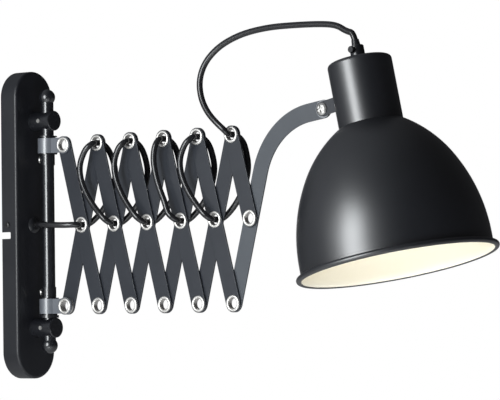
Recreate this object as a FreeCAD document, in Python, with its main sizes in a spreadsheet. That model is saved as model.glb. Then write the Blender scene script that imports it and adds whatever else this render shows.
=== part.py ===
import FreeCAD, Part
import math
import os
import Sketcher
from FreeCAD import Placement, Rotation, Vector

# Articulating wall lamp: a wall plate carries a vertical rod on two posts, a scissor of flat bars
# slides and swings on the rod, and a bent arm at its far end carries a tilting dome shade.
# X points out of the wall, Y runs along it and Z is up. The origin lies on the wall, at the
# middle of the plate. Lengths are in millimetres and angles in degrees.

doc = FreeCAD.newDocument("WallLamp")
sheet = doc.addObject("Spreadsheet::Sheet", "Lamp")

SIZES = {
    # wall plate: an open-backed shell with round ends
    "plate_height": 344.0,
    "plate_width": 60.0,
    "plate_depth": 23.0,
    "plate_wall": 1.6,
    "plate_edge": 3.0,
    "notch_depth": 13.0,
    "notch_height": 7.4,
    "notch_drop": 12.0,
    "notch_corner": 1.2,
    # mounting bar behind the plate
    "bar_sheet": 2.0,
    "bar_length": 120.0,
    "bar_breadth": 24.0,
    "wing_breadth": 12.0,
    "wing_depth": 14.0,
    "wall_hole_spacing": 84.0,
    "wall_hole_radius": 2.6,
    "wire_hole_radius": 5.0,
    "wire_hole_drop": 18.0,
    "block_depth": 12.0,
    "block_width": 22.0,
    "block_height": 14.0,
    "block_lift": 24.0,
    "block_hole_radius": 2.2,
    "block_hole_spacing": 12.0,
    # plate side screws
    "side_screw_from_wall": 8.3,
    "side_screw_radius": 1.95,
    "side_screw_head_radius": 3.6,
    "side_screw_head_height": 2.0,
    "side_screw_length": 5.5,
    # cord bush in the plate
    "grommet_shift": -2.0,
    "grommet_flange_radius": 9.3,
    "grommet_flange_height": 2.5,
    "grommet_crown_radius": 5.4,
    "grommet_crown_curve": 6.0,
    "grommet_neck_radius": 4.6,
    "grommet_tail_radius": 6.2,
    "grommet_tail_height": 2.2,
    # posts, rod and balls
    "post_radius": 11.1,
    "post_length": 30.5,
    "post_inset": 56.6,
    "post_chamfer": 0.7,
    "bolt_radius": 2.4,
    "bolt_head_radius": 4.2,
    "bolt_head_height": 4.0,
    "bolt_hole_depth": 11.0,
    "bolt_end_gap": 1.0,
    "set_screw_radius": 2.2,
    "set_screw_shift": 3.5,
    "set_screw_proud": 0.8,
    "set_screw_socket": 1.76,
    "rod_radius": 7.0,
    "rod_from_wall": 42.8,
    "upper_rod_end": 26.5,
    "lower_rod_end": 19.7,
    "ball_radius": 9.0,
    "washer_height": 1.707,
    # scissor
    "link_length": 185.3,
    "rest_lean": 15.0,
    "bar_width": 19.2,
    "bar_thickness": 2.0,
    "layer_gap": 0.8,
    "bar_edge": 0.35,
    "eyelet_bore": 5.75,
    "eyelet_barrel": 6.5,
    "eyelet_flange": 8.9,
    "eyelet_rim": 0.25,
    "eyelet_roll": 1.7,
    "washer_radius": 9.1,
    # brackets on the rod
    "ear_reach": 27.5,
    "ear_thickness": 2.2,
    "ear_gap": 0.4,
    "strap_height": 16.6,
    "strap_wall": 2.0,
    "ear_root": 9.3,
    "bush_radius": 9.0,
    "bush_flange_radius": 10.6,
    "bush_flange_height": 1.2,
    "bush_height": 20.6,
    "bush_offset": 0.8,
    "tail_radius": 7.9,
    "tail_length": 12.0,
    "lock_screw_radius": 2.0,
    "lock_head_radius": 4.3,
    "lock_head_height": 2.8,
    "lock_drop": 5.9,
    "lock_angle": 20.0,
    # bent arm
    "arm_width": 19.3,
    "arm_reach": 98.7,
    "arm_rise": 110.1,
    "arm_bend_radius": 79.3,
    "arm_end_slope": 8.2,
    # head: heights are measured along the shade's axis from the rim
    "head_tilt": 12.3,
    "knuckle_out": 56.3,
    "knuckle_height": 180.7,
    "tab_sheet": 2.0,
    "tab_breadth": 15.0,
    "tab_foot": 10.0,
    "knuckle_screw_radius": 2.5,
    "knuckle_head_radius": 6.6,
    "knuckle_head_height": 3.0,
    "knuckle_washer_radius": 9.4,
    "rear_washer_radius": 6.5,
    "rear_washer_height": 0.5,
    "nut_flats": 10.0,
    "nut_height": 4.0,
    "screw_end_proud": 0.6,
    "rivet_radius": 1.6,
    "rivet_head_radius": 2.8,
    "rivet_head_height": 1.0,
    "rivet_spacing": 8.6,
    "rivet_side": 5.6,
    "cup_radius": 33.5,
    "cup_wall": 1.5,
    "cup_base": 149.0,
    "cup_top": 217.0,
    "cup_edge": 4.0,
    "rim_radius": 105.0,
    "bead_radius": 2.95,
    "lip_overlap": 0.25,
    "dome_wall": 1.0,
    "dome_straight": 17.2,
    "dome_side_curve": 175.8,
    "dome_side_angle": 29.4,
    "dome_hole_radius": 21.0,
    "grip_radius": 7.5,
    "grip_height": 15.5,
    "grip_chamfer": 0.8,
    "grip_end_gap": 1.0,
    "grip_thread_radius": 4.95,
    "grip_thread_length": 9.5,
    "collar_radius": 4.6,
    "collar_height": 6.5,
    "collar_taper": 0.7,
    "knob_radius": 3.5,
    "knob_height": 3.0,
    "knob_chamfer": 0.5,
    "knob_stem_radius": 1.5,
    "knob_stand_off": 1.0,
    "knob_lift": 11.0,
    "holder_radius": 19.9,
    "holder_cap_radius": 18.0,
    "holder_flange_radius": 24.0,
    "holder_flange_height": 3.0,
    "holder_mouth": 126.0,
    "holder_shoulder": 178.0,
    "holder_seat": 160.0,
    "holder_bore_gap": 0.5,
    "holder_step": 2.0,
    "holder_neck_height": 8.0,
    "holder_neck_wall": 3.0,
    "ring_radius": 27.0,
    "ring_height": 8.0,
    "ring_chamfer": 1.5,
    "bulb_radius": 30.0,
    "bulb_cone_angle": 20.0,
    "bulb_glass": 1.0,
    "bulb_base_radius": 13.2,
    "bulb_length": 108.0,
    "bulb_base_length": 34.5,
    "bulb_tip_height": 1.5,
    "bulb_tip_gap": 0.5,
    # cord and clearances
    "cord_radius": 3.3,
    "cord_clearance": 0.1,
    "running_fit": 0.05,
    "face_clearance": 0.1,
}

# The posts keep their distance from the plate's ends, the rod from the posts, and the scissor
# stands on the lower post. The dome follows the rim, and its crown ends at the cup's foot.
WORKED_OUT = {
    "post_height": "plate_height / 2 - post_inset",
    "upper_ball_height": "post_height + upper_rod_end",
    "lower_ball_height": "post_height + lower_rod_end",
    "first_pivot_height": "post_radius - post_height + washer_height + bush_height / 2 + bush_offset",
    "lattice_height": "first_pivot_height + link_length * cos(rest_lean * 1deg) / 2",
    "dome_radius": "rim_radius - 2 * bead_radius + lip_overlap",
    "side_end_radius": "dome_radius - dome_side_curve * (1 - cos(dome_side_angle * 1deg))",
    "side_end_height": "dome_straight + dome_side_curve * sin(dome_side_angle * 1deg)",
    "crown_across": "side_end_radius - cup_radius",
    "crown_rise": "cup_base - side_end_height",
    "dome_crown_curve": "(crown_across ^ 2 + crown_rise ^ 2) / 2 / (crown_across"
                        " * cos(dome_side_angle * 1deg) - crown_rise * sin(dome_side_angle * 1deg))",
}

for row, (name, value) in enumerate((SIZES | WORKED_OUT).items(), start=1):
    sheet.set(f"A{row}", name)
    sheet.set(f"B{row}", f"={value}")
    sheet.setAlias(f"B{row}", name)
doc.recompute()

size = {name: float(sheet.get(name)) for name in (*SIZES, *WORKED_OUT)}
finished = {}


# ---- modelling helpers -------------------------------------------------------------------------

def named(expression):
    """Put the sheet's name before every size in an expression."""
    words = "".join(c if c.isalnum() or c == "_" else f" {c} " for c in expression).split()
    return "".join(f"Lamp.{word}" if word in size else word for word in words)


def number(expression):
    """Present value of an expression of sizes."""
    return float(sheet.evalExpression(named(str(expression))))


def bind(obj, **expressions):
    """Bind an object's properties to expressions of sizes."""
    for prop, expression in expressions.items():
        obj.setExpression(prop, named(str(expression)))
    return obj


def fix(sketch, kind, where, expression):
    """Add one dimension to a sketch and bind it to an expression of sizes."""
    place = sketch.addConstraint(Sketcher.Constraint(kind, *where, number(expression)))
    sketch.setExpression(f"Constraints[{place}]", named(expression))


def fix_point(sketch, geometry, point, across, along):
    """Fix a sketch point's two coordinates; a text of 0 puts it on the axis."""
    for kind, axis, expression in (("DistanceX", -2, across), ("DistanceY", -1, along)):
        if expression == "0":
            sketch.addConstraint(Sketcher.Constraint("PointOnObject", geometry, point, axis))
        else:
            fix(sketch, kind, (-1, 1, geometry, point), expression)


def new_body(label):
    body = doc.addObject("PartDesign::Body", label)
    body.Label = label
    return body


def new_sketch(body, role, name="Profile"):
    """Sketch on one of the body's own origin planes."""
    sketch = body.newObject("Sketcher::SketchObject", f"{body.Label}_{name}")
    plane = next(f for f in body.Origin.OriginFeatures if f.Role == role)
    sketch.AttachmentSupport = [(plane, "")]
    sketch.MapMode = "FlatFace"
    return sketch


def draw_circle(sketch, across, along, radius):
    centre = Vector(number(across), number(along), 0)
    circle = Part.Circle(centre, Vector(0, 0, 1), number(radius))
    geometry = sketch.addGeometry(circle, False)
    fix_point(sketch, geometry, 3, across, along)
    fix(sketch, "Radius", (geometry,), radius)


def draw_outline(sketch, corners):
    """Closed outline through (across, along) corners.

    A corner with more values starts an arc of that radius, which turns left as the outline runs,
    or right where a fourth value, "right", is given; the other corners start straight edges.
    """
    points = [Vector(number(c[0]), number(c[1]), 0) for c in corners]
    edges = []
    for index, corner in enumerate(corners):
        start = points[index]
        end = points[(index + 1) % len(points)]
        if len(corner) == 2:
            edges.append((sketch.addGeometry(Part.LineSegment(start, end), False), 1, 2))
            continue
        radius = number(corner[2])
        leftward = len(corner) == 3
        first, last = (start, end) if leftward else (end, start)
        chord = last - first
        left = Vector(-chord.y, chord.x, 0).normalize()
        centre = (first + last) * 0.5 + left * math.sqrt(radius ** 2 - (chord.Length / 2) ** 2)
        first, last = (math.atan2(p.y - centre.y, p.x - centre.x) for p in (first, last))
        arc = Part.ArcOfCircle(Part.Circle(centre, Vector(0, 0, 1), radius), first, last)
        edges.append((sketch.addGeometry(arc, False), *((1, 2) if leftward else (2, 1))))
    for index, (geometry, _, end) in enumerate(edges):
        after, start, _ = edges[(index + 1) % len(edges)]
        sketch.addConstraint(Sketcher.Constraint("Coincident", geometry, end, after, start))
    for (geometry, start, _), corner in zip(edges, corners):
        fix_point(sketch, geometry, start, corner[0], corner[1])
        if len(corner) > 2:
            fix(sketch, "Radius", (geometry,), corner[2])


def draw_slot(sketch, low, high, radius):
    """Upright slot with round ends: the end centres lie on the sketch's vertical axis."""
    reach = number(radius)
    ends = []
    for along, first in ((high, 0.0), (low, math.pi)):
        circle = Part.Circle(Vector(0, number(along), 0), Vector(0, 0, 1), reach)
        arc = Part.ArcOfCircle(circle, first, first + math.pi)
        ends.append(sketch.addGeometry(arc, False))
        fix_point(sketch, ends[-1], 3, "0", along)
    upper, lower = ends
    top, bottom = number(high), number(low)
    left = sketch.addGeometry(Part.LineSegment(Vector(-reach, top, 0), Vector(-reach, bottom, 0)))
    right = sketch.addGeometry(Part.LineSegment(Vector(reach, bottom, 0), Vector(reach, top, 0)))
    for arc, arc_end, line, line_end in ((upper, 2, left, 1), (lower, 1, left, 2),
                                         (lower, 2, right, 1), (upper, 1, right, 2)):
        sketch.addConstraint(Sketcher.Constraint("Tangent", arc, arc_end, line, line_end))
    sketch.addConstraint(Sketcher.Constraint("Equal", upper, lower))
    fix(sketch, "Radius", (upper,), radius)


def pad(body, sketch, length, midplane=False, name="Pad"):
    feature = body.newObject("PartDesign::Pad", f"{body.Label}_{name}")
    feature.Profile = sketch
    feature.Midplane = midplane
    bind(feature, Length=length)
    return feature


def pocket(body, sketch, length, midplane=False, reverse=False, name="Pocket"):
    feature = body.newObject("PartDesign::Pocket", f"{body.Label}_{name}")
    feature.Profile = sketch
    feature.Midplane = midplane
    feature.Reversed = reverse
    bind(feature, Length=length)
    return feature


def turned(label, corners):
    """Body turned about Z from an outline of (radius, height) corners."""
    body = new_body(label)
    sketch = new_sketch(body, "XZ_Plane")
    draw_outline(sketch, corners)
    feature = body.newObject("PartDesign::Revolution", f"{label}_Turn")
    feature.Profile = sketch
    feature.ReferenceAxis = (sketch, ["V_Axis"])
    feature.Angle = 360.0
    return body


def round_edges(body, feature, radius, wanted):
    """Fillet the edges of a feature that a test picks."""
    doc.recompute()
    names = [f"Edge{i}" for i, edge in enumerate(feature.Shape.Edges, start=1) if wanted(edge)]
    fillet = body.newObject("PartDesign::Fillet", f"{body.Label}_Fillet")
    fillet.Base = (feature, names)
    bind(fillet, Radius=radius)
    return fillet


def aim(base, direction):
    """Placement that turns +Z to a direction and moves to a base point."""
    return Placement(Vector(*base), Rotation(Vector(0, 0, 1), Vector(*direction)))


def cylinder(label, radius, height, base=(0, 0, 0), direction=(0, 0, 1)):
    tool = doc.addObject("Part::Cylinder", label)
    bind(tool, Radius=radius, Height=height)
    tool.Placement = aim(base, direction)
    return tool


def box(label, length, width, height, corner=(0, 0, 0)):
    tool = doc.addObject("Part::Box", label)
    bind(tool, Length=length, Width=width, Height=height)
    tool.Placement = Placement(Vector(*corner), Rotation())
    return tool


def fused(label, pieces):
    joined = doc.addObject("Part::MultiFuse", label)
    joined.Label = label
    joined.Shapes = pieces
    joined.Refine = True
    return joined


def cut(label, base, tools):
    """Cut one tool, or the union of several, out of a base."""
    result = doc.addObject("Part::Cut", label)
    result.Label = label
    result.Base = base
    result.Tool = tools[0] if len(tools) == 1 else fused(f"{label}_tools", tools)
    return result


def group(label, pieces):
    """Like fasteners kept in one node as separate solids."""
    joined = doc.addObject("Part::Compound", label)
    joined.Label = label
    joined.Links = pieces
    return joined


def finish(node, obj, placement=None):
    """Name a finished sub-part and put it in its place."""
    obj.Label = node
    if placement is not None:
        obj.Placement = placement
    finished[node] = obj
    return obj


# a screw head's edge and cross floor as shares of its height, the rest as shares of its radius
HEAD_EDGE, CROSS_FLOOR = 0.35, 0.45
HEAD_FLAT, CROSS_LENGTH, CROSS_WIDTH = 0.55, 1.24, 0.24


def cross_screw(label, radius, length, head_radius, head_height):
    """Pan-head screw on Z: the head's underside is at zero and the shank points down."""
    body = turned(f"{label}_turned", [
        ("0", f"-({length})"), (radius, f"-({length})"), (radius, "0"), (head_radius, "0"),
        (head_radius, f"{head_height} * {HEAD_EDGE}", head_radius),
        (f"{head_radius} * {HEAD_FLAT}", head_height), ("0", head_height)])
    blades = []
    for turn in (0.0, 90.0):
        blade = box(f"{label}_blade_{turn:.0f}", f"{head_radius} * {CROSS_LENGTH}",
                    f"{head_radius} * {CROSS_WIDTH}", head_height)
        corner = Vector(-size[head_radius] * CROSS_LENGTH / 2,
                        -size[head_radius] * CROSS_WIDTH / 2, size[head_height] * CROSS_FLOOR)
        blade.Placement = Placement(Vector(), Rotation(Vector(0, 0, 1), turn)).multiply(
            Placement(corner, Rotation()))
        blades.append(blade)
    return cut(label, body, blades)


def soft_path(points):
    """Wire of straight runs joined by arcs, each as large as its two runs allow."""
    corners = [Vector(*point) for point in points]
    edges = []
    radii = []
    last = corners[0]
    for before, corner, after in zip(corners, corners[1:], corners[2:]):
        back = (before - corner).normalize()
        ahead = (after - corner).normalize()
        half_turn = (math.pi - back.getAngle(ahead)) / 2
        setback = 0.45 * min((before - corner).Length, (after - corner).Length)
        radius = setback / math.tan(half_turn)
        start = corner + back * setback
        end = corner + ahead * setback
        inward = (back + ahead).normalize()
        middle = corner + inward * (math.hypot(radius, setback) - radius)
        edges.append(Part.LineSegment(last, start).toShape())
        edges.append(Part.Arc(start, middle, end).toShape())
        radii.append(radius)
        last = end
    edges.append(Part.LineSegment(last, corners[-1]).toShape())
    return Part.Wire(edges), radii


def cord(node, points):
    """Round cord along a route, checked against its section times its length."""
    wire, radii = soft_path(points)
    start = Vector(*points[0])
    heading = Vector(*points[1]) - start
    ring = Part.Wire(Part.makeCircle(size["cord_radius"], start, heading))
    solid = Part.Solid(wire.makePipeShell([ring], True, False))
    expected = math.pi * size["cord_radius"] ** 2 * wire.Length
    in_diameters = [round(radius / (2 * size["cord_radius"]), 1) for radius in radii]
    print(f"{node}: length {wire.Length:.1f} mm, volume {solid.Volume / expected:.4f} of section "
          f"times length, radii in diameters {in_diameters}")
    feature = doc.addObject("Part::Feature", node)
    feature.Shape = solid
    return finish(node, feature)


# ---- wall plate, mounting bar and what they hold -----------------------------------------------

front_face = size["plate_depth"]
back_of_front = front_face - size["plate_wall"]

plate = new_body("wall_plate_shell")
outer = new_sketch(plate, "YZ_Plane", "Outer")
draw_slot(outer, "-(plate_height - plate_width) / 2", "(plate_height - plate_width) / 2",
          "plate_width / 2")
shell = pad(plate, outer, "plate_depth")
round_edges(plate, shell, "plate_edge",
            lambda edge: all(abs(v.X - front_face) < 1e-6 for v in edge.Vertexes))
inner = new_sketch(plate, "YZ_Plane", "Inner")
draw_slot(inner, "-(plate_height - plate_width) / 2", "(plate_height - plate_width) / 2",
          "plate_width / 2 - plate_wall")
pocket(plate, inner, "plate_depth - plate_wall", reverse=True)

half_width = size["plate_width"] / 2
notch = box("notch", "notch_depth + plate_wall", "plate_wall * 4", "notch_height",
            (-size["plate_wall"], -half_width - 2 * size["plate_wall"],
             -size["notch_drop"] - size["notch_height"] / 2))
doc.recompute()
rounded_notch = doc.addObject("Part::Fillet", "rounded_notch")
rounded_notch.Base = notch
inner_edges = [
    i for i, edge in enumerate(notch.Shape.Edges, start=1)
    if all(v.X > 0 for v in edge.Vertexes)
    and abs(edge.Vertexes[0].Z - edge.Vertexes[-1].Z) < 1e-6
    and abs(edge.Vertexes[0].Y - edge.Vertexes[-1].Y) > 1e-6]
rounded_notch.Edges = [(i, size["notch_corner"], size["notch_corner"]) for i in inner_edges]
plate_tools = [
    rounded_notch,
    cylinder("grommet_hole", "grommet_neck_radius + running_fit", "plate_wall * 3",
             (back_of_front - size["plate_wall"], size["grommet_shift"], 0), (1, 0, 0)),
    cylinder("side_screw_hole", "side_screw_radius + running_fit", "plate_width * 2",
             (size["side_screw_from_wall"], -size["plate_width"], 0), (0, 1, 0)),
]
for side in (1, -1):
    plate_tools.append(cylinder(
        f"bolt_hole_{side}", "bolt_radius + running_fit", "plate_wall * 3",
        (back_of_front - size["plate_wall"], 0, side * size["post_height"]), (1, 0, 0)))
finish("wall_plate", cut("wall_plate", plate, plate_tools))

wing_inside = half_width - size["plate_wall"] - size["face_clearance"]
bar_pieces = [
    box("bar_back", "bar_sheet", "bar_breadth", "bar_length",
        (0, -size["bar_breadth"] / 2, -size["bar_length"] / 2)),
    box("bar_cross", "bar_sheet", "plate_width - 2 * (plate_wall + face_clearance)",
        "wing_breadth", (0, -wing_inside, -size["wing_breadth"] / 2)),
]
for side in (-1, 1):
    bar_pieces.append(box(
        f"wing_{side}", "wing_depth", "bar_sheet", "wing_breadth",
        (0, min(side * wing_inside, side * (wing_inside - size["bar_sheet"])),
         -size["wing_breadth"] / 2)))
bar_tools = [
    cylinder("wing_hole", "side_screw_radius + running_fit", "plate_width * 2",
             (size["side_screw_from_wall"], -size["plate_width"], 0), (0, 1, 0)),
    cylinder("wire_hole", "wire_hole_radius", "bar_sheet * 3",
             (-size["bar_sheet"], 0, -size["wire_hole_drop"]), (1, 0, 0)),
]
for side in (-1, 1):
    bar_tools.append(cylinder(
        f"wall_hole_{side}", "wall_hole_radius", "bar_sheet * 3",
        (-size["bar_sheet"], 0, side * size["wall_hole_spacing"] / 2), (1, 0, 0)))
finish("mounting_bar", cut("mounting_bar", fused("bar_blank", bar_pieces), bar_tools))

side_screws = []
for side in (-1, 1):
    screw = cross_screw(f"side_screw_{side}", "side_screw_radius", "side_screw_length",
                        "side_screw_head_radius", "side_screw_head_height")
    screw.Placement = aim((size["side_screw_from_wall"], side * half_width, 0), (0, side, 0))
    side_screws.append(screw)
finish("plate_screws", group("plate_screws", side_screws))

finish("cord_grommet", turned("cord_grommet", [
    ("cord_radius + cord_clearance", "-plate_wall - running_fit - grommet_tail_height"),
    ("grommet_tail_radius", "-plate_wall - running_fit - grommet_tail_height"),
    ("grommet_tail_radius", "-plate_wall - running_fit"),
    ("grommet_neck_radius", "-plate_wall - running_fit"),
    ("grommet_neck_radius", "0"),
    ("grommet_flange_radius", "0", "grommet_crown_curve"),
    ("grommet_crown_radius", "grommet_flange_height"),
    ("cord_radius + cord_clearance", "grommet_flange_height")]),
    aim((front_face, size["grommet_shift"], 0), (1, 0, 0)))

block = box("block_blank", "block_depth", "block_width", "block_height",
            (size["bar_sheet"], -size["block_width"] / 2, size["block_lift"]))
block_holes = []
for side in (-1, 1):
    across = side * size["block_hole_spacing"] / 2
    middle = size["block_lift"] + size["block_height"] / 2
    block_holes.append(cylinder(
        f"block_screw_hole_{side}", "block_hole_radius", "block_depth / 2",
        (size["bar_sheet"] + size["block_depth"] / 2, across, middle), (1, 0, 0)))
    block_holes.append(cylinder(
        f"block_wire_hole_{side}", "block_hole_radius", "block_height * 2",
        (size["bar_sheet"] + size["block_depth"] / 3, across, 0), (0, 0, 1)))
finish("terminal_block", cut("terminal_block", block, block_holes))

# ---- posts, rod, balls and their screws --------------------------------------------------------

rod_x = size["rod_from_wall"]
post_bolts = []
set_screws = []
for name, side in (("upper_post", 1), ("lower_post", -1)):
    height = side * size["post_height"]
    post = turned(f"{name}_turned", [
        ("0", "0"), ("post_radius", "0"), ("post_radius", "post_length - post_chamfer"),
        ("post_radius - post_chamfer", "post_length"), ("0", "post_length")])
    post.Placement = aim((front_face, 0, height), (1, 0, 0))
    screw_x = rod_x - size["set_screw_shift"]
    holes = [
        cylinder(f"{name}_rod_hole", "rod_radius + running_fit", "post_radius * 4",
                 (rod_x, 0, height - 2 * size["post_radius"])),
        cylinder(f"{name}_bolt_hole", "bolt_radius + running_fit", "bolt_hole_depth",
                 (front_face, 0, height), (1, 0, 0)),
        cylinder(f"{name}_screw_hole", "set_screw_radius + running_fit", "post_radius * 2",
                 (screw_x, 0, height), (0, -1, 0)),
    ]
    finish(name, cut(name, post, holes))

    bolt = turned(f"{name}_bolt", [
        ("0", "-bolt_head_height"), ("bolt_head_radius", "-bolt_head_height"),
        ("bolt_head_radius", "0"), ("bolt_radius", "0"),
        ("bolt_radius", "plate_wall + bolt_hole_depth - bolt_end_gap"),
        ("0", "plate_wall + bolt_hole_depth - bolt_end_gap")])
    bolt.Placement = aim((back_of_front, 0, height), (1, 0, 0))
    post_bolts.append(bolt)

    # the screw's flat tip stops just off the rod's flank
    tip = math.sqrt(size["rod_radius"] ** 2
                    - (size["set_screw_shift"] - size["set_screw_radius"]) ** 2)
    outside = size["post_radius"] + size["set_screw_proud"]
    blank = cylinder(f"{name}_screw_blank", "set_screw_radius",
                     "post_radius + set_screw_proud - face_clearance"
                     " - sqrt(rod_radius ^ 2 - (set_screw_shift - set_screw_radius) ^ 2)",
                     (screw_x, -tip - size["face_clearance"], height), (0, -1, 0))
    socket = cylinder(f"{name}_screw_socket", "set_screw_radius / 2", "set_screw_radius",
                      (screw_x, -outside + size["set_screw_socket"], height), (0, -1, 0))
    set_screws.append(cut(f"{name}_set_screw", blank, [socket]))
finish("post_bolts", group("post_bolts", post_bolts))
finish("post_set_screws", group("post_set_screws", set_screws))

ball_seat = math.sqrt(size["ball_radius"] ** 2 - size["rod_radius"] ** 2)
seat_text = "sqrt(ball_radius ^ 2 - rod_radius ^ 2)"
finish("slide_rod", cylinder("slide_rod", "rod_radius",
                             f"upper_ball_height + lower_ball_height - 2 * {seat_text}",
                             (rod_x, 0, -size["lower_ball_height"] + ball_seat)))
balls = []
for name, side in (("upper", 1), ("lower", -1)):
    ball = bind(doc.addObject("Part::Sphere", f"{name}_ball_blank"), Radius="ball_radius")
    flat = box(f"{name}_ball_flat", "ball_radius * 2", "ball_radius * 2", "ball_radius",
               (-size["ball_radius"], -size["ball_radius"], -size["ball_radius"] - ball_seat))
    ball = cut(f"{name}_ball", ball, [flat])
    ball.Placement = aim((rod_x, 0, side * size[f"{name}_ball_height"]), (0, 0, side))
    balls.append(ball)
finish("ball_finials", group("ball_finials", balls))

# ---- scissor geometry at rest ------------------------------------------------------------------

lean = math.radians(size["rest_lean"])
pitch = size["link_length"] * math.sin(lean)
span = size["link_length"] * math.cos(lean)
mid_height = size["lattice_height"]
first_x = rod_x + size["ear_reach"]
COLUMNS = 6

top = [Vector(first_x + i * pitch, 0, mid_height + span / 2) for i in range(COLUMNS)]
mid = [Vector(first_x + (i + 0.5) * pitch, 0, mid_height) for i in range(COLUMNS)]
bottom = [Vector(first_x + i * pitch, 0, mid_height - span / 2) for i in range(COLUMNS)]

# the front bars lie before the scissor's middle plane, the back bars and the arm behind it
layer_y = (size["layer_gap"] + size["bar_thickness"]) / 2
layer_face = size["layer_gap"] / 2 + size["bar_thickness"]
ear_back = -layer_face - size["ear_gap"]
ear_front = ear_back - size["ear_thickness"]

# ---- brackets that ride on the rod -------------------------------------------------------------

washer_base = size["post_radius"] - size["post_height"]
finish("thrust_washer", cut(
    "thrust_washer",
    cylinder("washer_blank", "bush_flange_radius", "washer_height", (rod_x, 0, washer_base)),
    [cylinder("washer_bore", "rod_radius + running_fit", "post_radius",
              (rod_x, 0, washer_base - 1))]))

for name, side, pivot in (("lower", 1, bottom[0]), ("upper", -1, top[0])):
    # side is the way from the bush's middle to the scissor's middle row
    centre_z = pivot.z - side * size["bush_offset"]
    bush_place = Placement(Vector(rod_x, 0, centre_z),
                           Rotation(Vector(1, 0, 0), 0 if side > 0 else 180))
    bush = turned(f"{name}_bush_turned", [
        ("rod_radius + running_fit", "-bush_height / 2"),
        ("bush_flange_radius", "-bush_height / 2"),
        ("bush_flange_radius", "bush_flange_height - bush_height / 2"),
        ("bush_radius", "bush_flange_height - bush_height / 2"),
        ("bush_radius", "bush_height / 2 - bush_flange_height"),
        ("bush_flange_radius", "bush_height / 2 - bush_flange_height"),
        ("bush_flange_radius", "bush_height / 2"),
        ("tail_radius", "bush_height / 2"),
        ("tail_radius", "bush_height / 2 + tail_length"),
        ("rod_radius + running_fit", "bush_height / 2 + tail_length")])
    bush.Placement = bush_place
    angle = math.radians(size["lock_angle"])
    way = (-math.cos(angle), -math.sin(angle), 0)
    lock_z = centre_z + side * (size["bush_height"] / 2 + size["lock_drop"])
    lock_hole = cylinder(f"{name}_lock_hole", "lock_screw_radius + running_fit",
                         "tail_radius * 2", (rod_x, 0, lock_z), way)
    finish(f"{name}_bush", cut(f"{name}_bush", bush, [lock_hole]))

    lock = cross_screw(f"{name}_lock_screw", "lock_screw_radius",
                       "tail_radius - rod_radius", "lock_head_radius", "lock_head_height")
    seat = size["tail_radius"] + size["face_clearance"]
    lock.Placement = aim((rod_x + way[0] * seat, way[1] * seat, lock_z), way)
    finish(f"{name}_lock_screw", lock)

    low = pivot.z - size["strap_height"] / 2
    wrap = cylinder(f"{name}_wrap", "bush_radius + running_fit + strap_wall", "strap_height",
                    (rod_x, 0, low))
    wrap_bore = cylinder(f"{name}_wrap_bore", "bush_radius + running_fit", "strap_height",
                         (rod_x, 0, low))
    ear = box(f"{name}_ear", "ear_reach - ear_root", "ear_thickness", "strap_height",
              (rod_x + size["ear_root"], ear_front, low))
    eye = cylinder(f"{name}_eye", "bar_width / 2", "ear_thickness",
                   (pivot.x, ear_front, pivot.z), (0, 1, 0))
    eye_hole = cylinder(f"{name}_eye_hole", "eyelet_barrel + running_fit", "ear_thickness * 3",
                        (pivot.x, ear_front - size["ear_thickness"], pivot.z), (0, 1, 0))
    sleeve = cut(f"{name}_sleeve", wrap, [wrap_bore])
    finish(f"{name}_strap", cut(f"{name}_strap", fused(f"{name}_strap_blank", [sleeve, ear, eye]),
                                [eye_hole]))

# ---- bars of the scissor -----------------------------------------------------------------------

def link_bar(node, pivots, layer, low_end="-link_length / 2"):
    """Flat bar with round ends and eyelet holes, upright about its middle or top hole."""
    body = new_body(node)
    outline = new_sketch(body, "XZ_Plane", "Outline")
    draw_slot(outline, low_end, "link_length / 2", "bar_width / 2")
    blank = pad(body, outline, "bar_thickness", midplane=True)
    half = size["bar_thickness"] / 2
    round_edges(body, blank, "bar_edge",
                lambda edge: all(abs(abs(v.Y) - half) < 1e-6 for v in edge.Vertexes)
                and abs(edge.Vertexes[0].Y - edge.Vertexes[-1].Y) < 1e-6)
    holes = new_sketch(body, "XZ_Plane", "Holes")
    for along in ("link_length / 2", "0", "-link_length / 2"):
        if number(along) >= number(low_end) - 1e-6:
            draw_circle(holes, "0", along, "eyelet_barrel + running_fit")
    pocket(body, holes, "bar_thickness * 2", midplane=True)
    upper, lower = pivots
    way = upper - lower
    turn = math.degrees(math.atan2(way.x, way.z))
    # the body's origin is the bar's middle hole, half a link below its top hole
    heading = Vector(way).normalize()
    middle = upper - heading * (size["link_length"] / 2)
    place = Placement(Vector(middle.x, layer * layer_y, middle.z),
                      Rotation(Vector(0, 1, 0), turn))
    return finish(node, body, place)


for i in range(COLUMNS - 1):
    link_bar(f"front_bar_{i + 1}", (top[i], bottom[i + 1]), -1)
    link_bar(f"back_bar_{i + 1}", (top[i + 1], bottom[i]), 1)
link_bar(f"front_bar_{COLUMNS}", (top[-1], mid[-1]), -1, low_end="0")

# ---- bent arm ----------------------------------------------------------------------------------

knuckle = mid[-1] + Vector(size["arm_reach"], 0, size["arm_rise"])
slope = math.radians(size["arm_end_slope"])
rising = Vector(math.sin(lean), 0, math.cos(lean))
outgoing = Vector(math.cos(slope), 0, math.sin(slope))
# the straight lower run and the straight upper run meet at the corner of the bend
across = knuckle - mid[-1]
cross_turn = rising.x * outgoing.z - rising.z * outgoing.x
along = (across.x * outgoing.z - across.z * outgoing.x) / cross_turn
corner = mid[-1] + rising * along
half_turn = (math.pi / 2 - lean - slope) / 2
setback = size["arm_bend_radius"] * math.tan(half_turn)
bend_start = corner - rising * setback
bend_end = corner + outgoing * setback
bend_centre = bend_start + Vector(math.cos(lean), 0, -math.sin(lean)) * size["arm_bend_radius"]


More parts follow.
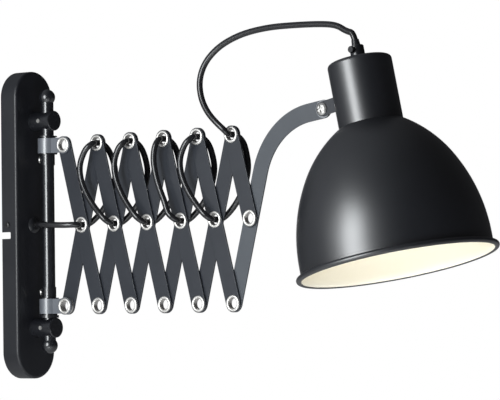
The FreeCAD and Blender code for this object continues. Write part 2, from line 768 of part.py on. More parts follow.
def arm_edge(distance):
    """Points of the arm's centreline, moved sideways to the left of the way up."""
    first_side = Vector(-math.cos(lean), 0, math.sin(lean)) * distance
    last_side = Vector(-math.sin(slope), 0, math.cos(slope)) * distance
    bisector = (corner - bend_centre).normalize()
    crown = bend_centre + bisector * (size["arm_bend_radius"] + distance)
    return [bottom[-1] + first_side, bend_start + first_side, crown,
            bend_end + last_side, knuckle + last_side]


arm_half = size["arm_width"] / 2
left = arm_edge(arm_half)
right = arm_edge(-arm_half)
arm_outline = Part.Wire([
    Part.LineSegment(left[0], left[1]).toShape(),
    Part.Arc(left[1], left[2], left[3]).toShape(),
    Part.LineSegment(left[3], left[4]).toShape(),
    Part.Arc(left[4], knuckle + outgoing * arm_half, right[4]).toShape(),
    Part.LineSegment(right[4], right[3]).toShape(),
    Part.Arc(right[3], right[2], right[1]).toShape(),
    Part.LineSegment(right[1], right[0]).toShape(),
    Part.Arc(right[0], bottom[-1] - rising * arm_half, left[0]).toShape()])
arm_blank = Part.Face(arm_outline).extrude(Vector(0, size["bar_thickness"], 0))
rims = [edge for edge in arm_blank.Edges
        if abs(edge.Vertexes[0].Y - edge.Vertexes[-1].Y) < 1e-6]
arm_blank = arm_blank.makeFillet(size["bar_edge"], rims)
drills = [(bottom[-1], size["eyelet_barrel"] + size["running_fit"]),
          (mid[-1], size["eyelet_barrel"] + size["running_fit"]),
          (knuckle, size["knuckle_screw_radius"] + 2 * size["running_fit"])]
for centre, radius in drills:
    arm_blank = arm_blank.cut(Part.makeCylinder(
        radius, size["bar_thickness"] * 3, centre - Vector(0, size["bar_thickness"], 0),
        Vector(0, 1, 0)))
arm = doc.addObject("Part::Feature", "curved_arm")
arm.Shape = arm_blank
finish("curved_arm", arm, Placement(Vector(0, size["layer_gap"] / 2, 0), Rotation()))

# ---- eyelets and the washers between the layers ------------------------------------------------

def eyelet(label, front, back, pivot):
    """Rolled eyelet on Y whose flanges bear on a front and a back face."""
    low = f"{front:.6f}"
    high = f"{back:.6f}"
    body = turned(label, [
        ("eyelet_bore", f"{low} - eyelet_rim", "eyelet_roll"),
        ("eyelet_flange", f"{low} - eyelet_rim"),
        ("eyelet_flange", low),
        ("eyelet_barrel", low),
        ("eyelet_barrel", high),
        ("eyelet_flange", high),
        ("eyelet_flange", f"{high} + eyelet_rim", "eyelet_roll"),
        ("eyelet_bore", f"{high} + eyelet_rim")])
    body.Placement = aim(pivot, (0, 1, 0))
    return body


def washer(label, front, back, pivot):
    ring = cylinder(f"{label}_disc", "washer_radius", f"{back - front:.6f}",
                    (pivot.x, front, pivot.z), (0, 1, 0))
    bore = cylinder(f"{label}_bore", "eyelet_barrel + running_fit", f"{back - front + 2:.6f}",
                    (pivot.x, front - 1, pivot.z), (0, 1, 0))
    return cut(label, ring, [bore])


fit = size["running_fit"]
face = size["face_clearance"]
gap = size["layer_gap"] / 2
for i in range(COLUMNS):
    pieces = []
    stops = [("top", top[i]), ("mid", mid[i])]
    if i + 1 < COLUMNS:
        stops.append(("bottom", bottom[i + 1]))
    for row, pivot in stops:
        label = f"eyelet_{row}_{i + 1}"
        if row == "top" and i == 0:
            pieces.append(eyelet(label, ear_front - fit, -gap, pivot))
            pieces.append(washer(f"{label}_washer", ear_back + fit, -layer_face, pivot))
            continue
        pieces.append(eyelet(label, -layer_face, layer_face + fit, pivot))
        pieces.append(washer(f"{label}_washer", -gap, gap - face, pivot))
    finish(f"eyelets_{i + 1}", group(f"eyelets_{i + 1}", pieces))
finish("first_pivot_eyelet", group("first_pivot_eyelet", [
    eyelet("eyelet_bottom_1", ear_front, layer_face + fit, bottom[0]),
    washer("eyelet_bottom_1_washer", ear_back, gap - face, bottom[0])]))

# ---- head: built about the shade's axis, then tilted -------------------------------------------

tilt = math.radians(size["head_tilt"])
axis_up = Vector(-math.sin(tilt), 0, math.cos(tilt))
axis_out = Vector(math.cos(tilt), 0, math.sin(tilt))
rim_centre = (knuckle + axis_out * size["knuckle_out"] - axis_up * size["knuckle_height"])
head = Placement(rim_centre, Rotation(Vector(0, 1, 0), -size["head_tilt"]))


def on_head(base, direction=(0, 0, 1)):
    return head.multiply(aim(base, direction))


# the dome's side and crown are two arcs that meet where the side has turned by its angle
CROWN_X = "(side_end_radius - dome_crown_curve * cos(dome_side_angle * 1deg))"
CROWN_Z = "(side_end_height - dome_crown_curve * sin(dome_side_angle * 1deg))"


def dome_corners(inset):
    """Corners of the dome's half section at a depth below its outside, from the foot up."""
    side, crown = f"(dome_side_curve - {inset})", f"(dome_crown_curve - {inset})"
    shelf = f"(cup_base - {inset})"
    return [
        (f"dome_radius - {inset}", "bead_radius"),
        (f"dome_radius - {inset}", "dome_straight"),
        (f"side_end_radius - {inset} * cos(dome_side_angle * 1deg)",
         f"side_end_height - {inset} * sin(dome_side_angle * 1deg)"),
        (f"{CROWN_X} + sqrt({crown} ^ 2 - ({shelf} - {CROWN_Z}) ^ 2)", shelf),
        ("dome_hole_radius", shelf)], side, crown


(foot, straight, joint, shoulder, rim), side, crown = dome_corners("0")
(in_foot, in_straight, in_joint, in_shoulder, in_rim), in_side, in_crown = (
    dome_corners("dome_wall"))
dome_shell = turned("dome_shell", [
    foot, (*straight, side), (*joint, crown), shoulder, rim,
    in_rim, (*in_shoulder, in_crown, "right"), (*in_joint, in_side, "right"),
    in_straight, in_foot])
bead = bind(doc.addObject("Part::Torus", "rim_bead"), Radius1="rim_radius - bead_radius",
            Radius2="bead_radius")
bead.Placement = aim((0, 0, size["bead_radius"]), (0, 0, 1))
finish("dome_shade", fused("dome_shade", [dome_shell, bead]), head)

cup = turned("socket_cup_turned", [
    ("cup_radius", "cup_base"),
    ("cup_radius", "cup_top - cup_edge", "cup_edge"),
    ("cup_radius - cup_edge", "cup_top"),
    ("grip_thread_radius + face_clearance", "cup_top"),
    ("grip_thread_radius + face_clearance", "cup_top - cup_wall"),
    ("cup_radius - cup_edge", "cup_top - cup_wall", "cup_edge - cup_wall", "right"),
    ("cup_radius - cup_wall", "cup_top - cup_edge"),
    ("cup_radius - cup_wall", "cup_base")])
rivet_angle = math.asin(size["rivet_side"] / size["cup_radius"])
rivet_way = (-math.cos(rivet_angle), -math.sin(rivet_angle), 0)
rivet_heights = [size["knuckle_height"] + side * size["rivet_spacing"] / 2 for side in (-1, 1)]
cup_holes = [cylinder(f"cup_rivet_hole_{k}", "rivet_radius + running_fit", "cup_radius * 1.2",
                      (0, 0, h), rivet_way) for k, h in enumerate(rivet_heights)]
finish("socket_cup", cut("socket_cup", cup, cup_holes), head)

# bent tab: a web beside the arm's end and a foot that follows the cup
web_front = -layer_face
tab_low = size["knuckle_height"] - size["tab_breadth"] / 2
foot_inner = size["cup_radius"] + size["running_fit"]
foot_ring = cut("foot_ring", cylinder("foot_outer", "cup_radius + running_fit + tab_sheet",
                                      "tab_breadth", (0, 0, tab_low)),
                [cylinder("foot_inner", "cup_radius + running_fit", "tab_breadth",
                          (0, 0, tab_low))])
foot_keep = box("foot_keep", "cup_radius * 2", "tab_foot - layer_gap / 2", "tab_breadth",
                (-size["cup_radius"] * 2, -size["tab_foot"], tab_low))
foot = doc.addObject("Part::Common", "tab_foot_piece")
foot.Base = foot_ring
foot.Tool = foot_keep
web = box("tab_web", "knuckle_out - cup_radius - tab_sheet / 2", "tab_sheet", "tab_breadth",
          (-size["knuckle_out"], web_front, tab_low))
tab_eye = cylinder("tab_eye", "tab_breadth / 2", "tab_sheet",
                   (-size["knuckle_out"], web_front, size["knuckle_height"]), (0, 1, 0))
tab_holes = [cylinder("tab_screw_hole", "knuckle_screw_radius + running_fit", "tab_sheet * 3",
                      (-size["knuckle_out"], web_front - size["tab_sheet"],
                       size["knuckle_height"]), (0, 1, 0))]
for k, h in enumerate(rivet_heights):
    tab_holes.append(cylinder(f"tab_rivet_hole_{k}", "rivet_radius + running_fit",
                              "cup_radius * 1.2", (0, 0, h), rivet_way))
finish("head_tab", cut("head_tab", fused("tab_blank", [foot, web, tab_eye]), tab_holes), head)

rivets = []
for k, h in enumerate(rivet_heights):
    rivet = turned(f"rivet_{k}", [
        ("0", "cup_radius - cup_wall - running_fit - rivet_head_height"),
        ("rivet_head_radius", "cup_radius - cup_wall - running_fit - rivet_head_height"),
        ("rivet_head_radius", "cup_radius - cup_wall - rivet_head_height / 2"),
        ("rivet_radius", "cup_radius - cup_wall - rivet_head_height / 2"),
        ("rivet_radius", "cup_radius + tab_sheet + 2 * running_fit"),
        ("rivet_head_radius", "cup_radius + tab_sheet + 2 * running_fit"),
        ("rivet_radius", "cup_radius + tab_sheet + rivet_head_height"),
        ("0", "cup_radius + tab_sheet + rivet_head_height")])
    rivet.Placement = on_head((0, 0, h), rivet_way)
    rivets.append(rivet)
finish("tab_rivets", group("tab_rivets", rivets))

knuckle_at = (-size["knuckle_out"], web_front, size["knuckle_height"])
finish("knuckle_screw", cross_screw(
    "knuckle_screw", "knuckle_screw_radius",
    "2 * bar_thickness + layer_gap + rear_washer_height + nut_height + screw_end_proud",
    "knuckle_head_radius", "knuckle_head_height"), on_head(knuckle_at, (0, -1, 0)))


def knuckle_ring(label, radius, height, y):
    at = (-size["knuckle_out"], y, size["knuckle_height"])
    disc = cylinder(f"{label}_disc", radius, height, at, (0, 1, 0))
    bore = cylinder(f"{label}_bore", "knuckle_screw_radius + running_fit", height, at, (0, 1, 0))
    ring = cut(label, disc, [bore])
    ring.Placement = head
    return ring


nut_y = layer_face + fit + size["rear_washer_height"]
nut_blank = bind(doc.addObject("Part::Prism", "nut_blank"),
                 Circumradius="nut_flats / 2 / cos(30 * 1deg)", Height="nut_height")
nut_blank.Polygon = 6
nut_bore = cylinder("nut_bore", "knuckle_screw_radius + running_fit", "nut_height")
nut = cut("nut", nut_blank, [nut_bore])
nut.Placement = on_head((-size["knuckle_out"], nut_y, size["knuckle_height"]), (0, 1, 0))
finish("knuckle_nut", group("knuckle_nut", [
    nut,
    knuckle_ring("front_washer", "knuckle_washer_radius", "layer_gap - face_clearance", -gap),
    knuckle_ring("rear_washer", "rear_washer_radius", "rear_washer_height", layer_face + fit)]))

# ---- lamp holder, ring, bulb and cord grip -----------------------------------------------------

finish("lamp_holder", turned("lamp_holder", [
    ("bulb_base_radius + holder_bore_gap", "holder_mouth"),
    ("holder_radius", "holder_mouth"),
    ("holder_radius", "cup_base"),
    ("holder_flange_radius", "cup_base"),
    ("holder_flange_radius", "cup_base + holder_flange_height"),
    ("holder_radius", "cup_base + holder_flange_height"),
    ("holder_radius", "holder_shoulder"),
    ("holder_cap_radius", "holder_shoulder + holder_step"),
    ("holder_cap_radius", "cup_top - cup_wall - holder_neck_height"),
    ("grip_thread_radius + holder_neck_wall", "cup_top - cup_wall - holder_step"),
    ("grip_thread_radius + holder_neck_wall", "cup_top - cup_wall"),
    ("grip_thread_radius + running_fit", "cup_top - cup_wall"),
    ("grip_thread_radius + running_fit", "cup_top - grip_thread_length - grip_end_gap"),
    ("cord_radius + cord_clearance", "cup_top - grip_thread_length - grip_end_gap"),
    ("cord_radius + cord_clearance", "holder_seat"),
    ("bulb_base_radius + holder_bore_gap", "holder_seat")]), head)

finish("shade_ring", turned("shade_ring", [
    ("holder_radius + running_fit", "cup_base - dome_wall - ring_height"),
    ("ring_radius - ring_chamfer", "cup_base - dome_wall - ring_height"),
    ("ring_radius", "cup_base - dome_wall - ring_height + ring_chamfer"),
    ("ring_radius", "cup_base - dome_wall"),
    ("holder_radius + running_fit", "cup_base - dome_wall")]), head)

# the glass is a ball that runs up into the cap through a straight cone
NECK_Z = "(holder_seat - bulb_base_length)"
BALL_Z = "(holder_seat - bulb_length + bulb_radius)"
bulb_blank = turned("bulb_blank", [
    ("0", f"{BALL_Z} - bulb_radius", "bulb_radius"),
    ("bulb_radius * cos(bulb_cone_angle * 1deg)",
     f"{BALL_Z} + bulb_radius * sin(bulb_cone_angle * 1deg)"),
    ("bulb_base_radius", NECK_Z),
    ("bulb_base_radius", "holder_seat - bulb_tip_gap - bulb_tip_height"),
    ("bulb_base_radius / 2", "holder_seat - bulb_tip_gap"),
    ("0", "holder_seat - bulb_tip_gap")])
BALL_INSIDE = "(bulb_radius - bulb_glass)"
bulb_inside = turned("bulb_inside", [
    ("0", f"{BALL_Z} - {BALL_INSIDE}", BALL_INSIDE),
    (f"{BALL_INSIDE} * cos(bulb_cone_angle * 1deg)",
     f"{BALL_Z} + {BALL_INSIDE} * sin(bulb_cone_angle * 1deg)"),
    ("bulb_base_radius - bulb_glass", f"{NECK_Z} - bulb_glass"),
    ("0", f"{NECK_Z} - bulb_glass")])
finish("bulb", cut("bulb", bulb_blank, [bulb_inside]), head)

grip = turned("cord_grip_turned", [
    ("cord_radius + cord_clearance", "cup_top - grip_thread_length"),
    ("grip_thread_radius", "cup_top - grip_thread_length"),
    ("grip_thread_radius", "cup_top"),
    ("grip_radius", "cup_top"),
    ("grip_radius", "cup_top + grip_height - grip_chamfer"),
    ("grip_radius - grip_chamfer", "cup_top + grip_height"),
    ("cord_radius + cord_clearance", "cup_top + grip_height")])
knob_z = size["cup_top"] + size["knob_lift"]
grip_hole = cylinder("grip_screw_hole", "knob_stem_radius + running_fit", "grip_radius * 2",
                     (0, 0, knob_z), (0, -1, 0))
finish("cord_grip", cut("cord_grip", grip, [grip_hole]), head)

finish("grip_collar", turned("grip_collar", [
    ("cord_radius + cord_clearance", "cup_top + grip_height"),
    ("collar_radius", "cup_top + grip_height"),
    ("collar_radius - collar_taper", "cup_top + grip_height + collar_height"),
    ("cord_radius + cord_clearance", "cup_top + grip_height + collar_height")]), head)

finish("grip_screw", turned("grip_screw", [
    ("0", "cord_radius + cord_clearance"),
    ("knob_stem_radius", "cord_radius + cord_clearance"),
    ("knob_stem_radius", "grip_radius + knob_stand_off"),
    ("knob_radius", "grip_radius + knob_stand_off"),
    ("knob_radius", "grip_radius + knob_stand_off + knob_height - knob_chamfer"),
    ("knob_radius - knob_chamfer", "grip_radius + knob_stand_off + knob_height"),
    ("0", "grip_radius + knob_stand_off + knob_height")]),
    on_head((0, 0, knob_z), (0, -1, 0)))

# ---- cord --------------------------------------------------------------------------------------

# The cord comes from the terminal block through the plate's bush, passes beside the rod and
# laces through the eyelets: a loop hangs before each front bar from its top eyelet to its middle
# one, and an arc rises behind each back bar from its middle eyelet to the next top one. Its
# stretches meet in the bars' middle plane, on the pivots' axes.

NEAR_PLATE = [(8.0, -2.0, 23.8), (8.0, -2.0, 16.2), (9.2, -2.0, 8.6), (13.4, -2.0, 0.0),
              (30.6, -2.0, 0.0), (36.2, -10.6, -0.3), (44.0, -17.0, -0.7)]

# points of the same stretch from the first middle eyelet
NEAR_LINK = [(-38.3, -19.0, 0.8), (-24.3, -17.6, 0.2), (-13.3, -14.8, -0.2)]

# points of a front loop from its top eyelet, and each loop's slack and its way out of the eyelet
FRONT_LOOP = [(-15.6, -13.5, -24.0), (-13.8, -13.5, -40.5), (-6.0, -13.5, -56.0),
              (3.6, -13.2, -69.0)]
FRONT_LOOPS = {2: (1.0, (-0.68, -0.73)), 3: (0.88, (-0.62, -0.78)),
               4: (0.46, (-0.22, -0.97)), 5: (0.95, (-0.66, -0.75))}
FRONT_ARRIVAL = (-0.71, 0.71)

# points of a back arc from its middle eyelet, and each arc's slack
BACK_ARC = [(14.5, 13.2, 12.5), (25.0, 13.3, 25.0), (33.0, 13.3, 40.0), (36.5, 13.3, 56.0),
            (33.4, 13.2, 70.5)]
BACK_ARCS = {1: 1.08, 2: 1.04, 3: 0.98, 4: 1.0, 5: 0.94}
BACK_DEPARTURE = (0.80, 0.60)
BACK_ARRIVAL = (0.50, -0.86)

FREE_LOOP = [
    (-10.5, -13.5, 12.5), (-22.5, -14.0, 24.5), (-31.0, -14.0, 40.0), (-34.0, -13.0, 59.0),
    (-27.0, -12.0, 77.0), (-12.0, -10.5, 91.0), (6.0, -9.0, 100.0), (28.0, -7.0, 106.5),
    (58.0, -5.0, 110.0), (89.5, -3.0, 110.0), (121.5, -1.5, 109.0), (142.0, -0.5, 106.5),
    (154.5, 0.0, 99.0)]
FREE_DEPARTURE = (-0.34, 0.94)


def slacker(points, chord, slack):
    """Move points away from the straight line between two eyelets by a loop's slack."""
    moved = []
    for x, y, z in points:
        on_line = chord.x * z / chord.z
        moved.append((on_line + slack * (x - on_line), y, z))
    return moved


def placed(origin, points):
    return [(origin.x + x, origin.y + y, origin.z + z) for x, y, z in points]


def threaded(pivot, side, way, reach=12.0):
    """Points of a stretch that leaves an eyelet and bends along the bars."""
    points = [(pivot.x, 0.0, pivot.z), (pivot.x, side * 6.6, pivot.z)]
    for out, off in ((5.0, 11.4), (reach, 13.1)):
        points.append((pivot.x + way[0] * out, side * off, pivot.z + way[1] * out))
    return points


cord("cord_wall_stretch", NEAR_PLATE + placed(mid[0], NEAR_LINK)
     + threaded(mid[0], -1, (-1.0, 0.0))[-2::-1])
for i, (slack, way) in FRONT_LOOPS.items():
    start, end = top[i - 1], mid[i - 1]
    cord(f"cord_front_loop_{i}", threaded(start, -1, way)
         + placed(start, slacker(FRONT_LOOP, end - start, slack))
         + threaded(end, -1, FRONT_ARRIVAL)[::-1])
for i, slack in BACK_ARCS.items():
    start, end = mid[i - 1], top[i]
    cord(f"cord_back_arc_{i}", threaded(start, 1, BACK_DEPARTURE)[:-1]
         + placed(start, slacker(BACK_ARC, end - start, slack))
         + threaded(end, 1, BACK_ARRIVAL, 11.0)[::-1])

grip_top = size["cup_top"] + size["grip_height"]
free_bend, free_end = (head.multVec(Vector(0, 0, grip_top + above)) for above in (14.0, 0.5))
cord("cord_free_loop", threaded(top[-1], -1, FREE_DEPARTURE)[:-1] + placed(top[-1], FREE_LOOP)
     + [tuple(free_bend), tuple(free_end)])

# ---- check and write ---------------------------------------------------------------------------

doc.recompute()
failed = [obj.Label for obj in doc.Objects if {"Invalid", "Error"} & set(obj.State)]
if failed:
    raise RuntimeError(f"these objects did not compute: {failed}")
for node, obj in finished.items():
    shape = obj.Shape
    if shape.isNull() or not shape.isValid() or not shape.Solids:
        raise RuntimeError(f"{node} has no valid solid")

os.makedirs("parts", exist_ok=True)
for node, obj in finished.items():
    obj.Shape.exportStep(f"parts/{node}.step")
print(f"{len(finished)} sub-parts written")
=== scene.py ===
import math

import bpy
import numpy as np
from mathutils import Matrix, Vector


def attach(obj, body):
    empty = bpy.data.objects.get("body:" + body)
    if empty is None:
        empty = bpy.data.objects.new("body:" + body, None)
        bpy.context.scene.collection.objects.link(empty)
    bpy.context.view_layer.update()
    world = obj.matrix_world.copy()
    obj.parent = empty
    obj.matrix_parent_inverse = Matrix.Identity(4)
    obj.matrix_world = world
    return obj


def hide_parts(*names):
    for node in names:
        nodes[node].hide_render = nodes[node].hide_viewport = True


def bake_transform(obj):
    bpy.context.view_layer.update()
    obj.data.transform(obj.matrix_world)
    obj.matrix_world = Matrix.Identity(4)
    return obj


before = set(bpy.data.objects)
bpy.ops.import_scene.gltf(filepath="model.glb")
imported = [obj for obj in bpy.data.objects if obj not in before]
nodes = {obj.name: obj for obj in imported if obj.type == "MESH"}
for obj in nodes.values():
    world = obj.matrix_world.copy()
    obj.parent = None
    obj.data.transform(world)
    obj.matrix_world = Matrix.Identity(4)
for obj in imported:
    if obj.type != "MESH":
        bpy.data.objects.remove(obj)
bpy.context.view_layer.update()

# ---- Camera -------------------------------------------------------------------------------------
# A long lens stands to the front left of the lamp, a little below its middle, and looks slightly
# up. Its place, turn and roll come from the pivots, the plate, the rod and the shade's rim.

camera_turn, camera_rise, camera_roll = (math.radians(a) for a in (39.165, -2.181, -0.761))
sensor_mm, focal_px, picture_px = 36.0, 2996.8, 500
forward = Vector((-math.sin(camera_turn) * math.cos(camera_rise),
                  math.cos(camera_turn) * math.cos(camera_rise), -math.sin(camera_rise)))
level_right = Vector((math.cos(camera_turn), math.sin(camera_turn), 0.0))
level_up = level_right.cross(forward)
right = level_right * math.cos(camera_roll) + level_up * math.sin(camera_roll)
up = level_up * math.cos(camera_roll) - level_right * math.sin(camera_roll)
eye = Vector((2.3293, -2.4503, -0.1032))

camera_data = bpy.data.cameras.new("camera")
camera_data.sensor_width = sensor_mm
camera_data.lens = focal_px / picture_px * sensor_mm
camera_data.clip_start, camera_data.clip_end = 0.1, 50.0
camera = bpy.data.objects.new("camera", camera_data)
camera.matrix_world = Matrix((right, up, -forward)).transposed().to_4x4()
camera.location = eye
bpy.context.scene.collection.objects.link(camera)
bpy.context.scene.camera = camera
bpy.context.scene.view_settings.view_transform = "Standard"

# ---- Studio -------------------------------------------------------------------------------------
# A white backdrop stands behind the lamp, just wider than the picture, in a room that is dim on
# the upper left and dark elsewhere. A tall lamp in front draws one soft line down the shade and
# cup, and a pale floor, open from below, lies well under them.

WHITE = (1.0, 1.0, 1.0, 1.0)


class Wave:
    """A socket of a node tree; sums and products of it add Math nodes."""

    def __init__(self, tree, socket):
        self.tree, self.socket = tree, socket

    def joined(self, operation, first, second):
        return self.tree.node("ShaderNodeMath", {"operation": operation}, {0: first, 1: second})

    def __add__(self, other):
        return self.joined("ADD", self, other)

    def __radd__(self, other):
        return self.joined("ADD", other, self)

    def __mul__(self, other):
        return self.joined("MULTIPLY", self, other)

    def __rmul__(self, other):
        return self.joined("MULTIPLY", other, self)


class Tree:
    """The node tree of a material or of the world."""

    def __init__(self, nodes_and_links):
        self.nodes, self.links = nodes_and_links.nodes, nodes_and_links.links

    def node(self, kind, settings=None, values=None, output=0):
        """Adds a node, sets it up, then fills its sockets, and gives one of its outputs."""
        made = self.nodes.new(kind)
        for name, value in (settings or {}).items():
            if name == "stops":
                stops = made.color_ramp.elements
                while len(stops) < len(value):
                    stops.new(1.0)
                for stop, (place, colour) in zip(stops, value):
                    stop.position, stop.color = place, (*colour, 1.0)
            else:
                setattr(made, name, value)
        for name, value in (values or {}).items():
            self.fill(made.inputs[name], value)
        return Wave(self, made.outputs[output])

    def fill(self, socket, value):
        """Links a wave to a socket, or puts a fixed value on it."""
        if isinstance(value, Wave):
            self.links.new(value.socket, socket)
        else:
            socket.default_value = value

    def mixed(self, factor, first, second):
        """A colour between two others, by a factor from 0 to 1."""
        return self.node("ShaderNodeMix", {"data_type": "RGBA"},
                         {"Factor": factor, "A": first, "B": second}, output="Result")

    def seen_directly(self):
        """1 for rays from the camera and for those that come through glass, 0 for others."""
        return self.node("ShaderNodeMath", {"operation": "MAXIMUM"}, {
            0: self.node("ShaderNodeLightPath", output="Is Camera Ray"),
            1: self.node("ShaderNodeLightPath", output="Is Transmission Ray")})


world = bpy.data.worlds.new("studio")
bpy.context.scene.world = world
world.use_nodes = True
studio = Tree(world.node_tree)
looking = studio.node("ShaderNodeTexCoord", output="Generated")
bright_corner = (-0.61, -0.51, 0.61)
leftward, behind = (
    studio.node("ShaderNodeVectorMath", {"operation": "DOT_PRODUCT"},
                {0: looking, 1: direction}, output="Value")
    for direction in (bright_corner, tuple(forward)))
room = studio.node("ShaderNodeValToRGB", {"stops": [
    (0.0, (0.035, 0.035, 0.037)), (0.55, (0.05, 0.05, 0.053)), (0.75, (0.14, 0.147, 0.158)),
    (1.0, (0.38, 0.40, 0.43))]}, {0: leftward * 0.5 + 0.5}, output="Color")
cloth_fades, cloth_full = 0.965, 0.985
cloth = studio.node("ShaderNodeMapRange", values={
    "Value": behind, "From Min": cloth_fades, "From Max": cloth_full})
backdrop = studio.mixed(cloth, room, WHITE)
studio.fill(studio.nodes["Background"].inputs["Color"],
            studio.mixed(studio.seen_directly(), backdrop, WHITE))


def soft_box(name, place, aim, width, height, power, glossy=True):
    """A cool rectangular lamp of so many watts, turned from its place towards a point."""
    data = bpy.data.lights.new(name, "AREA")
    data.shape, data.size, data.size_y = "RECTANGLE", width, height
    data.energy, data.color = power, (0.955, 0.985, 1.0)
    lamp = bpy.data.objects.new(name, data)
    lamp.location = place
    lamp.rotation_euler = (Vector(aim) - Vector(place)).to_track_quat("-Z", "Y").to_euler()
    lamp.visible_camera, lamp.visible_glossy = False, glossy
    bpy.context.scene.collection.objects.link(lamp)


soft_box("front_strip", (0.20, -1.43, 0.21), (0.53, -0.08, 0.02), 0.58, 0.94, 26.5)
soft_box("side_panel", (-0.62, -1.50, 0.05), (0.45, 0.0, 0.0), 0.50, 1.00, 1.3)
soft_box("low_strip", (0.50, -0.80, -0.66), (0.54, 0.0, -0.06), 0.50, 0.35, 1.9)
soft_box("shade_fill", (1.05, -0.55, -0.68), (0.50, 0.0, -0.03), 0.60, 0.60, 11.0, glossy=False)

floor_height, floor_reach = -0.75, 6.0
floor_mesh = bpy.data.meshes.new("floor")
floor_mesh.from_pydata([(x * floor_reach, y * floor_reach, floor_height)
                        for x, y in ((-1, -1), (1, -1), (1, 1), (-1, 1))], [], [(0, 1, 2, 3)])
floor = bpy.data.objects.new("floor", floor_mesh)
bpy.context.scene.collection.objects.link(floor)
floor_paint = bpy.data.materials.new("pale_floor")
floor_paint.use_nodes = True
painted = Tree(floor_paint.node_tree)
matt = painted.nodes["Principled BSDF"].inputs
matt["Base Color"].default_value = (0.86, 0.86, 0.86, 1.0)
matt["Roughness"].default_value = 0.8
matt["Emission Strength"].default_value = 1.0
painted.fill(matt["Emission Color"], painted.mixed(
    painted.seen_directly(), (0.12, 0.12, 0.12, 1.0), (0.5, 0.5, 0.5, 1.0)))
one_sided = painted.node("ShaderNodeMixShader", values={
    "Fac": painted.node("ShaderNodeNewGeometry", output="Backfacing"),
    1: Wave(painted, painted.nodes["Principled BSDF"].outputs["BSDF"]),
    2: painted.node("ShaderNodeBsdfTransparent")})
painted.fill(painted.nodes["Material Output"].inputs["Surface"], one_sided)
floor_mesh.materials.append(floor_paint)

# ---- Wall plate ---------------------------------------------------------------------------------
# A long plate with round ends, pressed from sheet steel and powder coated black. It is hollow,
# screwed from its sides to a bar on the wall, and notched for a cord at one side.


class Finish(Tree):
    """A named material: fixed values go on its shader's sockets, varying ones are linked."""

    def __init__(self, name, **fixed):
        self.material = bpy.data.materials.new(name)
        self.material.use_nodes = True
        super().__init__(self.material.node_tree)
        self.shader = self.nodes["Principled BSDF"]
        for socket, value in fixed.items():
            self.set(socket.replace("_", " ").title(), value)

    def set(self, socket, value):
        self.fill(self.shader.inputs["IOR" if socket == "Ior" else socket], value)

    def grain(self, scale, detail=3.0, stretch=(1.0, 1.0, 1.0)):
        """Noise in the object's own metres, from 0 to 1, with so many waves to a metre."""
        place = self.node("ShaderNodeTexCoord", output="Object")
        place = self.node("ShaderNodeMapping", values={"Vector": place, "Scale": stretch})
        return self.node("ShaderNodeTexNoise", values={
            "Vector": place, "Scale": scale, "Detail": detail})

    def tint(self, factor, first, second):
        """Base colour between two others."""
        self.set("Base Color", self.mixed(factor, (*first, 1.0), (*second, 1.0)))

    def relief(self, height, depth, strength):
        """Bump from a height wave, as deep as given in metres."""
        self.set("Normal", self.node("ShaderNodeBump", values={
            "Height": height, "Distance": depth, "Strength": strength}))

    def onto(self, *names):
        """Makes this the one material of the named CAD nodes."""
        for name in names:
            mesh = nodes[name].data
            mesh.materials.clear()
            mesh.materials.append(self.material)


powder = Finish("black_powder_coat", ior=1.5)
speckle = powder.grain(1900.0, 2.0)
cloud = powder.grain(26.0, 3.0)
powder.tint(cloud, (0.004, 0.0045, 0.0065), (0.008, 0.0085, 0.011))
powder.set("Roughness", 0.34 + 0.10 * cloud + 0.06 * speckle)
powder.relief(speckle, 0.00006, 0.35)
powder.onto("wall_plate")

# ---- Mounting bar and what it holds -------------------------------------------------------------
# A zinc-plated steel cross, its side arms bent forwards, is screwed to the wall behind the plate.
# Two small screws join it to the plate, and a moulded terminal block sits on it. The bolts of the
# two posts are zinc-plated too.

zinc = Finish("zinc_plate", metallic=1.0)
mottle = zinc.grain(320.0, 4.0)
zinc.tint(mottle, (0.46, 0.47, 0.48), (0.60, 0.60, 0.58))
zinc.set("Roughness", 0.30 + 0.22 * mottle)
zinc.onto("mounting_bar", "post_bolts")

screw_black = Finish("blackened_screw", metallic=0.6)
screw_black.tint(screw_black.grain(700.0), (0.02, 0.02, 0.02), (0.05, 0.05, 0.05))
screw_black.set("Roughness", 0.30 + 0.15 * screw_black.grain(500.0))
screw_black.onto("plate_screws")

moulding = Finish("pale_moulding")
moulding.tint(moulding.grain(60.0), (0.72, 0.70, 0.64), (0.78, 0.76, 0.70))
moulding.set("Roughness", 0.38 + 0.12 * moulding.grain(900.0))
moulding.onto("terminal_block")

# ---- Posts, rod and balls -----------------------------------------------------------------------
# Two turned posts are bolted to the plate and hold a round rod, which ends in screwed-on balls
# and carries a thrust washer. All have a black coat that is smoother than the plate's. Small
# bright set screws lock the rod in the posts.

turned_black = Finish("black_turned_parts", ior=1.7)
turned_cloud = turned_black.grain(60.0, 2.0)
turned_black.tint(turned_cloud, (0.004, 0.0045, 0.006), (0.008, 0.0085, 0.0105))
turned_black.set("Roughness", 0.24 + 0.04 * turned_cloud)
turned_black.onto("upper_post", "lower_post", "slide_rod", "ball_finials", "thrust_washer")

bright_steel = Finish("bright_steel", metallic=1.0)
bright_mottle = bright_steel.grain(900.0, 2.0)
bright_steel.tint(bright_mottle, (0.50, 0.49, 0.47), (0.64, 0.63, 0.61))
bright_steel.set("Roughness", 0.32 + 0.12 * bright_mottle)
bright_steel.onto("post_set_screws")

# ---- Brackets on the rod ------------------------------------------------------------------------
# Each bracket is a black bush on the rod, with a locking screw. A strap of sheet steel in slate
# enamel is wrapped round it and ends in an ear for the scissor's first pivot.

turned_black.onto("upper_bush", "lower_bush")
bright_steel.onto("upper_lock_screw", "lower_lock_screw")

